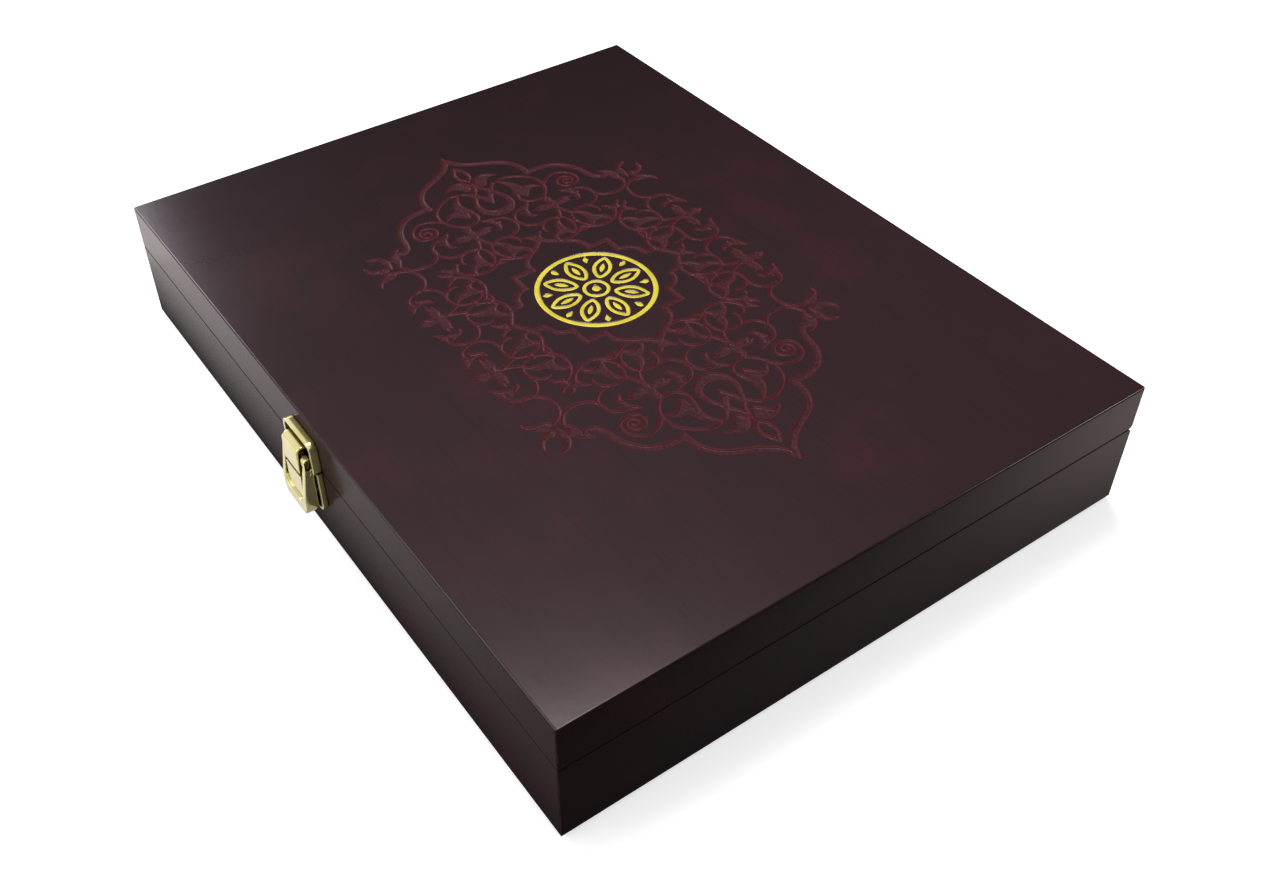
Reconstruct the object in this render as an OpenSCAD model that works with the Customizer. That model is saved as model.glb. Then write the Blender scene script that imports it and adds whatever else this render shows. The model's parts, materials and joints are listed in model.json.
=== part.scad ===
// Book box: mitred wooden base and lid, velvet bed inside, two butt hinges at the back
// and a draw latch in the middle of the front. The origin is the centre of the underside,
// X runs along the latch side, the latch faces -Y and the hinges are at +Y.

/* [Box] */
// Length of the box along its latch side
box_w = 340; // [300:1:420]
// Depth of the box from the latch side to the hinge side
box_d = 265; // [225:1:340]
// Height of the base up to the seam
base_h = 38.5; // [32:0.5:70]
// Height of the lid above the seam
lid_h = 20.5; // [19:0.5:40]
// Thickness of the side rails
rail_t = 11; // [10:0.5:16]
// Thickness of the lid's top board
lid_board_t = 6; // [4:0.5:8]
// Thickness of the bottom board
floor_board_t = 5; // [3:0.5:8]
// Width of the rabbet that holds the bottom board
rabbet_w = 5; // [3:0.5:6]
// Clearance around the bottom board in its rabbet
board_clearance = 0.2; // [0.05:0.05:0.5]

/* [Edges] */
// Radius of the upright outer corners
corner_r = 1; // [0.5:0.1:3]
// Radius along the bottom outer edges
bottom_r = 3; // [1:0.5:4]
// Radius along the top outer edges
top_r = 0.7; // [0.3:0.1:2]
// Chamfer along both sides of the seam
seam_chamfer = 0.4; // [0.1:0.1:0.8]

/* [Lining] */
// Length of the recess for the book
recess_w = 256; // [200:1:260]
// Depth of the recess for the book
recess_d = 186; // [150:1:190]
// Thickness of the pad under the book
floor_pad_t = 5; // [3:0.5:8]
// Thickness of the pad inside the lid
lid_pad_t = 4; // [2:0.5:6]
// Drop of the velvet bed below the seam
bed_drop = 4; // [1:0.5:10]
// Gap between lining pieces and what stands beside them
lining_gap = 0.4; // [0.2:0.1:1]

/* [Hinges] */
// Distance of each hinge's middle from the end of the box
hinge_end = 65; // [50:1:90]
// Length of a hinge
hinge_len = 32; // [24:1:45]
// Distance of the hinge axis from the back face
hinge_inset = 1.8; // [1.5:0.1:2.5]
// Radius of the hinge barrel
barrel_r = 1.9; // [1.6:0.1:2.4]
// Radius of the hinge pin
pin_r = 0.9; // [0.6:0.05:1.1]
// Width of a leaf from the axis inwards
leaf_w = 8.6; // [7:0.1:9]
// Thickness of a leaf
leaf_t = 1; // [0.8:0.1:1.4]
// Gap between neighbouring knuckles
knuckle_gap = 0.2; // [0.1:0.05:0.5]
// Running clearance around a pin
pin_clearance = 0.05; // [0.02:0.01:0.1]
// Room around the barrel and the leaves in the wood
mortise_clearance = 0.3; // [0.15:0.05:0.5]
// Slope of the two bevels that meet when the lid is fully open
stop_slope = 47; // [40:1:60]
// Distance from the hinge axis in to the foot of the bevels
stop_foot = 0.25; // [0.15:0.05:0.5]

/* [Screws] */
// Radius of a screw's shank
screw_r = 0.8; // [0.6:0.05:1]
// Radius of a screw's countersunk head
screw_head_r = 1.6; // [1.3:0.1:2]
// Height of a screw's countersunk head
screw_head_h = 0.7; // [0.5:0.05:0.8]
// Length of a hinge screw
hinge_screw_l = 8; // [6:0.5:10]
// Length of a latch screw
latch_screw_l = 7; // [5:0.5:8]
// Clearance around a screw
screw_clearance = 0.05; // [0.02:0.01:0.1]

/* [Latch] */
// Width of the latch plates
plate_w = 23; // [20:0.5:26]
// Height of the keeper plate on the lid
keeper_h = 14; // [13.5:0.5:16]
// Height of the plate on the base
base_plate_h = 20.5; // [17:0.5:22]
// Thickness of the plates inside their rim
plate_t = 1.2; // [1:0.1:1.4]
// Height of the base plate's rim off the wood
rim_t = 2.2; // [1.8:0.1:2.3]
// Height of the keeper's rim off the wood
keeper_rim_t = 3.4; // [2.4:0.1:3.6]
// Width of the plates' rim
rim_w = 1.4; // [1:0.1:2]
// Radius of the plates' outer corners
plate_corner_r = 3.5; // [2:0.1:4]
// Gap between each plate and the seam
plate_gap = 0.5; // [0.1:0.05:0.6]
// Width of the lever
lever_w = 19.2; // [18:0.2:20]
// Reach of the lever below the seam
lever_drop = 23.5; // [21:0.5:27]
// Lean of the closed lever away from the wood, in degrees
lever_tilt = 1; // [0:1:4]
// Radius of the lever's round bottom corners
lever_round_r = 8; // [6:0.5:9]
// Width of the hook between the lever's arms
hook_w = 12.4; // [11:0.2:12.6]
// Sideways gap between the hook and the lever's arms
hook_gap = 0.3; // [0.2:0.05:0.5]
// Thickness of the hook's sheet
hook_t = 1; // [0.8:0.1:1.2]
// Height of the hook's top above the seam
hook_top = 10.9; // [10.4:0.1:11.4]
// Radius of the lever's pivot pin
lever_pin_r = 0.8; // [0.6:0.05:1]
// Radius of the hook's pivot pin
hook_pin_r = 0.7; // [0.5:0.05:0.9]

/* [Hidden] */
$fn = 48;

wood = [0.22, 0.14, 0.155];
velvet = [0.36, 0.05, 0.09];
brass = [0.80, 0.75, 0.48];
steel = [0.70, 0.70, 0.66];

// Overshoot of cutting shapes past the faces that they cut
cut = 1;
seam_z = base_h;
top_z = base_h + lid_h;
lid_rail_h = lid_h - lid_board_t;
inner_w = box_w - 2 * rail_t;
inner_d = box_d - 2 * rail_t;
bed_side_w = (inner_w - recess_w) / 2;
bed_end_d = (inner_d - recess_d) / 2;
bed_h = base_h - floor_board_t - bed_drop;

hinge_x = box_w / 2 - hinge_end;
hinge_y = box_d / 2 - hinge_inset;
knuckle_l = (hinge_len - 2 * knuckle_gap) / 3;
barrel_room_r = barrel_r + mortise_clearance;
hinge_screw_y = -(barrel_room_r + leaf_w) / 2;
hinge_screw_x = hinge_len / 4;

// Latch places are (outwards from the front face, upwards from the seam)
pivot_out = 4.2;
pivot_up = 5.5;
barrel_wall = 0.6;
// Gap between latch pieces that turn past each other
turn_gap = 0.3;
lever_barrel_r = lever_pin_r + barrel_wall;
// Long eye in the side of each arm: radius and length, and how deep the pivot pin's end lies in it
pin_eye_r = 1.25;
pin_eye_l = 3;
pin_recess = 2;
arm_r = lever_barrel_r + turn_gap;
// Tongue that carries the lever's pin: room at its sides, and the places of its foot and its step
tongue_side_gap = 0.8;
tongue_w = hook_w - 2 * (hook_t + tongue_side_gap);
tongue_step = 0.5;
tongue_foot = -8.5;
tongue_shoulder = -2;
sheet_in = pivot_out + lever_barrel_r + turn_gap;
sheet_out = sheet_in + hook_t;
// The hook's pivot lies a little further out than the lever's
hook_pivot_step = 0.4;
hook_pivot_out = pivot_out + hook_pivot_step;
hook_pivot_up = -0.4;
hook_knuckle_r = hook_pin_r + barrel_wall;
hook_foot = 0.8;
// The tongue is slim behind the hook's knuckle: its knee, and its neck's front and upper end
tongue_knee_out = 2.2;
tongue_knee = -3.2;
tongue_neck_out = hook_pivot_out - hook_knuckle_r - turn_gap;
tongue_neck = 1.4;
hook_round_r = 2.6;
flange_t = 1.1;
// The flange ends in front of the shelf, so that the lid clears it at every angle
flange_clearance = 0.5;
flange_in = rim_t + flange_clearance;
shelf_t = 1.1;
shelf_out = rim_t;
shelf_top = hook_top - flange_t - turn_gap;
panel_top = hook_pivot_up - norm([sheet_out - hook_pivot_out, hook_foot]) - turn_gap;
panel_bottom = -15.5;
// Lap of the raised panel into the finger lip, and the radius of its lower corners
panel_lap = 1;
panel_round_r = 4;
// Channels between the panel and the arms: width, depth, and upper and lower ends
channel_w = 1.3;
channel_d = 1.6;
channel_top = 3;
channel_bottom = panel_bottom + panel_round_r;
panel_half_w = hook_w / 2 + channel_w;
window_w = hook_w + 2 * hook_gap;
// Finger lip: how far it stands out past the panel, radius, bevel, and ends of its rise along the arms
lip_rise = 1;
lip_out = sheet_out + lip_rise;
lip_r = 4;
lip_bevel = 1;
lip_top = -12;
lip_start = 3;
keeper_screw_up = 3.4;
base_screw_rise = 4.4;
base_screw_up = base_screw_rise - base_plate_h;
screw_edge = 0.4;
latch_screw_x = plate_w / 2 - rim_w - screw_head_r - screw_edge;

// Rectangle with round corners, centred
module round_rect(w, d, r) {
    square([w - 2 * r, d], center = true);
    square([w, d - 2 * r], center = true);
    for (sx = [-1, 1], sy = [-1, 1])
        translate([sx * (w / 2 - r), sy * (d / 2 - r)]) circle(r);
}

// Upright section: width w, height h, round corners at the foot and chamfers at the head
module upright_section(w, h, foot_r, head_chamfer) {
    x = w / 2;
    polygon([[-x + foot_r, 0], [x - foot_r, 0], [x, foot_r], [x, h - head_chamfer],
        [x - head_chamfer, h], [-x + head_chamfer, h], [-x, h - head_chamfer], [-x, foot_r]]);
    for (s = [-1, 1])
        translate([s * (x - foot_r), foot_r]) circle(foot_r);
}

// Extrudes a section drawn in (Y, Z) along X, centred
module along_x(l) {
    rotate([90, 0, 90]) linear_extrude(l, center = true) children();
}

// Extrudes a section drawn in (X, Z) along Y, centred
module along_y(l) {
    rotate([90, 0, 0]) linear_extrude(l, center = true) children();
}

// Block with round upright corners, round foot edges and chamfered head edges
module edged_block(h, foot_r) {
    intersection() {
        linear_extrude(h) round_rect(box_w, box_d, corner_r);
        along_y(2 * box_d) upright_section(box_w, h, foot_r, seam_chamfer);
        along_x(2 * box_w) upright_section(box_d, h, foot_r, seam_chamfer);
    }
}

// Wedge behind the hinge axis: the bevel on which the open lid comes to rest
module stop_bevel() {
    reach = hinge_inset + cut;
    translate([0, hinge_y, seam_z])
        along_x(box_w + 2 * cut)
            polygon([[-stop_foot, 0], [-stop_foot, cut], [reach, cut],
                [reach, -(reach + stop_foot) * tan(stop_slope)]]);
}

module base_block() {
    difference() {
        edged_block(base_h, bottom_r);
        stop_bevel();
    }
}

module lid_block() {
    difference() {
        translate([0, 0, top_z]) mirror([0, 0, 1]) edged_block(lid_h, top_r);
        translate([0, 0, 2 * seam_z]) mirror([0, 0, 1]) stop_bevel();
    }
}

// Plan of one mitred rail along the -Y side of a frame w by d
module rail_plan(w, d) {
    polygon([[-w / 2 - cut, -d / 2 - cut], [w / 2 + cut, -d / 2 - cut],
        [w / 2 - rail_t, -d / 2 + rail_t], [-w / 2 + rail_t, -d / 2 + rail_t]]);
}

// Upright prism over one rail: side 0 front, 1 right, 2 back, 3 left
module rail_prism(side, z, h) {
    w = side % 2 == 0 ? box_w : box_d;
    d = side % 2 == 0 ? box_d : box_w;
    translate([0, 0, z]) rotate(90 * side) linear_extrude(h) rail_plan(w, d);
}

module base_rail(side) {
    board_w = inner_w + 2 * rabbet_w;
    board_d = inner_d + 2 * rabbet_w;
    color(wood) difference() {
        intersection() {
            base_block();
            rail_prism(side, -cut, base_h + 2 * cut);
        }
        translate([-board_w / 2, -board_d / 2, -cut]) cube([board_w, board_d, floor_board_t + cut]);
        children();
    }
}

module lid_rail(side) {
    color(wood) difference() {
        intersection() {
            lid_block();
            rail_prism(side, seam_z - cut, lid_rail_h + cut);
        }
        children();
    }
}

// Puts its children at both hinge axes
module at_hinges() {
    for (s = [-1, 1]) at_hinge(s) children();
}

module at_hinge(s) {
    translate([s * hinge_x, hinge_y, seam_z]) children();
}

// Countersunk screw pointing down, its head's face at z = 0
module screw_body(l, grow) {
    shank_r = screw_r + grow;
    head_r = screw_head_r + grow;
    translate([0, 0, -l - grow]) cylinder(h = l + grow - screw_head_h / 2, r = shank_r);
    translate([0, 0, -screw_head_h]) cylinder(h = screw_head_h, r1 = shank_r, r2 = head_r);
}

module screw(l) {
    slot_w = screw_head_r / 4;
    slot_d = screw_head_h / 2;
    color(steel) difference() {
        screw_body(l, 0);
        translate([-screw_head_r, -slot_w / 2, -slot_d]) cube([2 * screw_head_r, slot_w, slot_d + cut]);
    }
}

// Hole for a screw, open above its head
module screw_hole(l) {
    screw_body(l, screw_clearance);
    cylinder(h = cut, r = screw_head_r + screw_clearance);
}

module at_hinge_screws() {
    for (s = [-1, 1]) translate([s * hinge_screw_x, hinge_screw_y, 0]) children();
}

// Mortise of one leaf below the seam, with the room for the barrel
module leaf_mortise() {
    room_l = hinge_len + 2 * mortise_clearance;
    room_w = leaf_w + mortise_clearance;
    translate([-room_l / 2, -room_w, -leaf_t]) cube([room_l, room_w + hinge_inset + cut, leaf_t + cut]);
    rotate([0, 90, 0]) cylinder(h = room_l, r = barrel_room_r, center = true);
    at_hinge_screws() screw_hole(hinge_screw_l);
}

// One leaf below the seam; own is 1 where it has the outer knuckles and 0 where it has the middle one
module leaf(own) {
    pitch = knuckle_l + knuckle_gap;
    color(brass) difference() {
        union() {
            translate([-hinge_len / 2, -leaf_w, -leaf_t]) cube([hinge_len, leaf_w, leaf_t]);
            for (i = [-1:1]) if (abs(i) == own)
                translate([i * pitch, 0, 0]) rotate([0, 90, 0])
                    cylinder(h = knuckle_l, r = barrel_r, center = true);
        }
        for (i = [-1:1]) if (abs(i) != own)
            translate([i * pitch, -barrel_room_r / 2 + cut, 0])
                cube([knuckle_l + 2 * knuckle_gap, barrel_room_r + 2 * cut, 2 * leaf_t + cut], center = true);
        rotate([0, 90, 0]) cylinder(h = hinge_len + cut, r = pin_r + pin_clearance, center = true);
        at_hinge_screws() screw_hole(hinge_screw_l);
    }
}

module hinge_pin() {
    color(steel) rotate([0, 90, 0]) cylinder(h = hinge_len, r = pin_r, center = true);
}

// Latch frame: origin on the front face at the seam
module at_latch() {
    translate([0, -box_d / 2, seam_z]) children();
}

// Extrudes an outline drawn in (X, up) outwards from the front face, from a to b
module outwards(a, b) {
    translate([0, -a, 0]) rotate([90, 0, 0]) linear_extrude(b - a) children();
}

// Extrudes a section drawn in (outwards, up) across the latch, centred
module across(l) {
    rotate([90, 0, -90]) linear_extrude(l, center = true) children();
}

// Leans its children away from the wood about the lever's pivot
module leaned() {
    translate([0, -pivot_out, pivot_up]) rotate([-lever_tilt, 0, 0])
        translate([0, pivot_out, -pivot_up]) children();
}

// Plate outline from y = 0 up to h with two round upper corners
module plate_outline(w, h, r) {
    translate([-w / 2, 0]) square([w, h - r]);
    translate([-w / 2 + r, 0]) square([w - 2 * r, h]);
    for (s = [-1, 1]) translate([s * (w / 2 - r), h - r]) circle(r);
}

// Plate with a raised rim along its sides and far end
module rimmed_plate(h, t) {
    inner_r = plate_corner_r - rim_w;
    difference() {
        outwards(0, t) plate_outline(plate_w, h, plate_corner_r);
        outwards(plate_t, t + cut)
            translate([0, -cut]) plate_outline(plate_w - 2 * rim_w, h - rim_w + cut, inner_r);
    }
}

module at_latch_screws(up) {
    for (s = [-1, 1]) translate([s * latch_screw_x, -plate_t, up]) rotate([90, 0, 0]) children();
}

module keeper_screw_holes() {
    at_latch() at_latch_screws(keeper_screw_up) screw_hole(latch_screw_l);
}

module base_plate_screw_holes() {
    at_latch() at_latch_screws(base_screw_up) screw_hole(latch_screw_l);
}

// Cylinder across the latch at a place given outwards and upwards
module cross_rod(out, up, r, l) {
    translate([0, -out, up]) rotate([0, 90, 0]) cylinder(h = l, r = r, center = true);
}

// Wood of the base
module base_front_rail() { base_rail(0) base_plate_screw_holes(); }
module base_right_rail() { base_rail(1); }
module base_back_rail() { base_rail(2) at_hinges() leaf_mortise(); }
module base_left_rail() { base_rail(3); }

module base_floor_board() {
    w = inner_w + 2 * rabbet_w - 2 * board_clearance;
    d = inner_d + 2 * rabbet_w - 2 * board_clearance;
    color(wood) translate([-w / 2, -d / 2, 0]) cube([w, d, floor_board_t]);
}

// Velvet bed around the recess, and the pad on its floor
module floor_pad() {
    w = recess_w - 2 * lining_gap;
    d = recess_d - 2 * lining_gap;
    color(velvet) translate([-w / 2, -d / 2, floor_board_t]) cube([w, d, floor_pad_t]);
}

module bed_side(s) {
    w = bed_side_w - lining_gap;
    d = inner_d - 2 * lining_gap;
    color(velvet) translate([s * (recess_w + w) / 2 - w / 2, -d / 2, floor_board_t]) cube([w, d, bed_h]);
}

module bed_end(s) {
    w = recess_w - 2 * lining_gap;
    d = bed_end_d - lining_gap;
    color(velvet) translate([-w / 2, s * (recess_d + d) / 2 - d / 2, floor_board_t]) cube([w, d, bed_h]);
}

module bed_front() { bed_end(-1); }
module bed_back() { bed_end(1); }
module bed_left() { bed_side(-1); }
module bed_right() { bed_side(1); }

// Wood of the lid
module lid_front_rail() { lid_rail(0) keeper_screw_holes(); }
module lid_right_rail() { lid_rail(1); }
module lid_back_rail() { lid_rail(2) at_hinges() mirror([0, 0, 1]) leaf_mortise(); }
module lid_left_rail() { lid_rail(3); }

module lid_top_board() {
    color(wood) intersection() {
        lid_block();
        translate([-box_w, -box_d, top_z - lid_board_t]) cube([2 * box_w, 2 * box_d, lid_board_t + cut]);
    }
}

module lid_pad() {
    w = inner_w - 2 * lining_gap;
    d = inner_d - 2 * lining_gap;
    color(velvet) translate([-w / 2, -d / 2, seam_z + lid_rail_h - lid_pad_t]) cube([w, d, lid_pad_t]);
}

// Hinges
module hinge_base_leaf_left() { at_hinge(-1) leaf(1); }
module hinge_base_leaf_right() { at_hinge(1) leaf(1); }
module hinge_lid_leaf_left() { at_hinge(-1) mirror([0, 0, 1]) leaf(0); }
module hinge_lid_leaf_right() { at_hinge(1) mirror([0, 0, 1]) leaf(0); }
module hinge_pin_left() { at_hinge(-1) hinge_pin(); }
module hinge_pin_right() { at_hinge(1) hinge_pin(); }
module hinge_base_screws() { at_hinges() at_hinge_screws() screw(hinge_screw_l); }
module hinge_lid_screws() { at_hinges() mirror([0, 0, 1]) at_hinge_screws() screw(hinge_screw_l); }

// Keeper on the lid: rimmed plate with the shelf behind the hook
module latch_keeper_plate() {
    color(brass) difference() {
        at_latch() {
            translate([0, 0, plate_gap]) rimmed_plate(keeper_h - plate_gap, keeper_rim_t);
            across(tongue_w) translate([0, shelf_top - shelf_t]) square([shelf_out, shelf_t]);
        }
        keeper_screw_holes();
    }
}

module latch_keeper_screws() { at_latch() at_latch_screws(keeper_screw_up) screw(latch_screw_l); }

// Plate on the base with the tongue that carries the lever's pivot pin
module latch_base_plate() {
    tongue_back = plate_t + tongue_step;
    root = plate_t / 2;
    color(brass) difference() {
        at_latch() {
            mirror([0, 0, 1]) translate([0, 0, plate_gap]) rimmed_plate(base_plate_h - plate_gap, rim_t);
            across(tongue_w) polygon([[root, tongue_foot], [tongue_knee_out, tongue_knee],
                [tongue_neck_out, tongue_shoulder], [tongue_neck_out, tongue_neck],
                [pivot_out + lever_barrel_r, pivot_up], [pivot_out - lever_barrel_r, pivot_up],
                [tongue_back, 0], [tongue_back, tongue_shoulder], [root, tongue_shoulder]]);
            cross_rod(pivot_out, pivot_up, lever_barrel_r, tongue_w);
        }
        base_plate_screw_holes();
        at_latch() cross_rod(pivot_out, pivot_up, lever_pin_r + pin_clearance, tongue_w + cut);
    }
}

module latch_base_screws() { at_latch() at_latch_screws(base_screw_up) screw(latch_screw_l); }

module latch_lever_pin() {
    color(steel) at_latch() cross_rod(pivot_out, pivot_up, lever_pin_r, lever_w - 2 * pin_recess);
}

// Outline of the lever from the front: straight sides and a round bottom
module lever_outline() {
    foot = lever_round_r - lever_drop;
    side = lever_w / 2 - lever_round_r;
    for (s = [-1, 1]) translate([s * side, foot]) circle(lever_round_r);
    translate([-side, -lever_drop]) square([2 * side, lever_round_r]);
    translate([-lever_w / 2, foot]) square([lever_w, pivot_up + arm_r - foot]);
}

// Side section of the lever: two arms, the frame below them and the thick finger lip
module lever_section() {
    back = pivot_out - arm_r;
    front = pivot_out + arm_r;
    translate([pivot_out, pivot_up]) circle(arm_r);
    polygon([[back, pivot_up], [back, -lever_drop + lip_bevel], [lip_out - lip_r, -lever_drop],
        [lip_out, -lever_drop + lip_r], [lip_out, lip_top], [front, lip_start], [front, pivot_up]]);
    intersection() {
        translate([lip_out - lip_r, -lever_drop + lip_r]) circle(lip_r);
        translate([lip_out - lip_r, -lever_drop]) square(lip_r);
    }
}

// Section of the eye at the top of each arm
module pin_eye() {
    foot = pivot_up - pin_eye_l;
    translate([pivot_out, pivot_up]) circle(pin_eye_r);
    translate([pivot_out, foot]) circle(pin_eye_r);
    translate([pivot_out - pin_eye_r, foot]) square([2 * pin_eye_r, pin_eye_l]);
}

// Outline of the place for the panel: straight sides and two round lower corners
module panel_outline() {
    side = panel_half_w - panel_round_r;
    for (s = [-1, 1]) translate([s * side, channel_bottom]) circle(panel_round_r);
    translate([-side, panel_bottom]) square([2 * side, panel_round_r]);
    translate([-panel_half_w, channel_bottom]) square([2 * panel_half_w, pivot_up - channel_bottom]);
}

module latch_lever() {
    window_top = pivot_up + arm_r + cut;
    color(brass) at_latch() leaned() difference() {
        union() {
            intersection() {
                outwards(0, lip_out + cut) lever_outline();
                across(lever_w + cut) lever_section();
            }
            // Panel under the hook
            across(hook_w) translate([pivot_out, panel_bottom - panel_lap])
                square([sheet_out - pivot_out, panel_top - panel_bottom + panel_lap]);
        }
        outwards(-cut, lip_out + cut)
            translate([-window_w / 2, panel_top]) square([window_w, window_top - panel_top]);
        outwards(sheet_out, lip_out + cut) panel_outline();
        outwards(pivot_out + arm_r - channel_d, lip_out + cut)
            for (s = [-1, 1]) translate([s * (hook_w + channel_w) / 2, (channel_top + channel_bottom) / 2])
                square([channel_w, channel_top - channel_bottom], center = true);
        cross_rod(pivot_out, pivot_up, lever_pin_r + pin_clearance, lever_w + cut);
        for (s = [-1, 1]) translate([s * lever_w / 2, 0, 0]) across(2 * pin_recess) pin_eye();
        cross_rod(hook_pivot_out, hook_pivot_up, hook_pin_r + pin_clearance, lever_w + cut);
    }
}

module latch_hook_pin() {
    color(steel) at_latch() leaned() cross_rod(hook_pivot_out, hook_pivot_up, hook_pin_r, lever_w);
}

// Side section of the hook: knuckle, front sheet and the flange at its top
module hook_section() {
    foot = hook_pivot_up - hook_foot;
    round_out = sheet_out - hook_round_r;
    translate([hook_pivot_out, hook_pivot_up]) circle(hook_knuckle_r);
    translate([hook_pivot_out, foot]) square([sheet_out - hook_pivot_out, hook_foot + hook_knuckle_r]);
    translate([sheet_in, foot]) square([hook_t, hook_top - hook_round_r - foot]);
    translate([flange_in, hook_top - flange_t]) square([round_out - flange_in, flange_t]);
    intersection() {
        translate([round_out, hook_top - hook_round_r]) difference() {
            circle(hook_round_r);
            circle(hook_round_r - hook_t);
        }
        translate([round_out, hook_top - hook_round_r]) square(hook_round_r);
    }
}

module latch_hook() {
    color(brass) at_latch() leaned() difference() {
        across(hook_w) hook_section();
        cross_rod(hook_pivot_out, hook_pivot_up, hook_pin_r + pin_clearance, hook_w + cut);
    }
}

base_front_rail();
base_back_rail();
base_left_rail();
base_right_rail();
base_floor_board();
floor_pad();
bed_front();
bed_back();
bed_left();
bed_right();
hinge_base_leaf_left();
hinge_base_leaf_right();
hinge_pin_left();
hinge_pin_right();
hinge_base_screws();
latch_base_plate();
latch_base_screws();
latch_lever_pin();
lid_front_rail();
lid_back_rail();
lid_left_rail();
lid_right_rail();
lid_top_board();
lid_pad();
hinge_lid_leaf_left();
hinge_lid_leaf_right();
hinge_lid_screws();
latch_keeper_plate();
latch_keeper_screws();
latch_lever();
latch_hook_pin();
latch_hook();
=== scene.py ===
"""Looks of the book box: carved and lacquered lid, gilt draw latch, velvet lining, in the CAD model's frame."""
import json
import math
import bpy
import numpy as np
from mathutils import Matrix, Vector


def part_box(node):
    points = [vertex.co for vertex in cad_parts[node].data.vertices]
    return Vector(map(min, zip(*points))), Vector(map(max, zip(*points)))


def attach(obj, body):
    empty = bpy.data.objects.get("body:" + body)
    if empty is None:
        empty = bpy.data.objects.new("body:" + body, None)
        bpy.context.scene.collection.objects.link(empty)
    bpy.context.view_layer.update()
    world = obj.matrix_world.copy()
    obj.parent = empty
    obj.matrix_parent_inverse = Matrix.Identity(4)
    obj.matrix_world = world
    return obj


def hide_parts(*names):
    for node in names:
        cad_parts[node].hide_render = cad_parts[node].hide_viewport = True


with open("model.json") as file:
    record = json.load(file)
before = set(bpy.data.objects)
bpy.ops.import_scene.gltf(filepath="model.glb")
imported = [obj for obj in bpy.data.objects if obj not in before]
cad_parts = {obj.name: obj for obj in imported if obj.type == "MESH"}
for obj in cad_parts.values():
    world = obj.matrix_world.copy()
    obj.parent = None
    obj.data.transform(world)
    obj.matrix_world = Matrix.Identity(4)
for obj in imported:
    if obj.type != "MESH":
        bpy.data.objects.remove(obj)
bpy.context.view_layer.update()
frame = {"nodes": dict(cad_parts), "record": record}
MM = 0.001

# Lid's top board in mm, and the height of the seam in m, read from the CAD model
(board_lo, board_hi) = (np.array(c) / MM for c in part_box("lid_top_board"))
SEAM_Z = float(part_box("base_left_rail")[1][2])
TOP = board_hi[2]
HALF_W = board_hi[0]
HALF_D = board_hi[1]
# Radii of the board's upper edge and of its corners, and width of its underside that lies on the rails, in mm
EDGE_R = 0.7
CORNER_R = 1.0
RAIL_T = 11.0


def curve(points, steps=6):
    """Smooth open curve through given points (x, y, width): a cubic with tangents from the neighbours."""
    p = np.asarray(points, float)
    if len(p) == 2:
        return p
    t = np.gradient(p, axis=0)
    u = np.linspace(0, 1, steps, endpoint=False)[None, :, None]
    a, b, ta, tb = (q[:, None, :] for q in (p[:-1], p[1:], t[:-1], t[1:]))
    c = (2 * u**3 - 3 * u**2 + 1) * a + (u**3 - 2 * u**2 + u) * ta + (3 * u**2 - 2 * u**3) * b + (u**3 - u**2) * tb
    return np.vstack([c.reshape(-1, 3), p[-1]])


def outline(points, steps=5):
    """Closed outline through given points (x, y); a third value marks a sharp tip."""
    p = np.array([q[:2] for q in points], float)
    sharp = np.array([len(q) > 2 for q in points])
    prev, nxt = np.roll(p, 1, 0), np.roll(p, -1, 0)
    smooth = (nxt - prev) / 2
    out_t = np.where(sharp[:, None], nxt - p, smooth)
    in_t = np.where(sharp[:, None], p - prev, smooth)
    u = np.linspace(0, 1, steps, endpoint=False)[None, :, None]
    a, b, ta, tb = p[:, None], nxt[:, None], out_t[:, None], np.roll(in_t, -1, 0)[:, None]
    c = (2 * u**3 - 3 * u**2 + 1) * a + (u**3 - 2 * u**2 + u) * ta + (3 * u**2 - 2 * u**3) * b + (u**3 - u**2) * tb
    return c.reshape(-1, 2)


def stem(width, *points, end=None):
    """Points of one stem with its width, which runs to another width at its end where one is given."""
    w = np.linspace(width, width if end is None else end, len(points))
    return [(x, y, k) for (x, y), k in zip(points, w)]


# One quarter of the ornament, in mm from its middle: a unit is repeated in a mirror at FOLD and in the diagonal.
# T marks a leaf's sharp tip, and a stem's first number is its width.
T = 1
FOLD = 20.7
FAR = 9.0

UNIT_STEMS = [
    stem(1.3, (7.8, 67.0), (5.4, 67.2), (3.1, 66.2), (1.4, 64.0), (0.5, 61.2), (0.7, 58.6), (1.7, 56.2), (3.6, 54.3),
         (6.2, 53.1), (9.2, 52.9), (12.4, 53.3), (15.2, 52.9), (17.8, 52.0)),
    stem(1.5, (17.6, 52.1), (18.6, 53.8), (19.6, 56.2), (20.2, 58.4), (20.4, 61.0)),
    stem(0.95, (18.0, 51.7), (19.1, 49.5), (19.7, 47.0), (19.6, 44.8), (18.8, 42.4), (17.3, 40.2), (15.3, 38.6)),
    stem(1.5, (9.6, 36.4), (12.0, 36.2), (14.4, 36.8), (16.6, 38.0), (18.8, 39.3), (20.7, 40.4)),
    stem(1.8, (9.3, 52.6), (7.7, 51.2), (6.7, 49.2), (6.4, 47.0), (7.0, 45.7), end=0.5),
]
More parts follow.
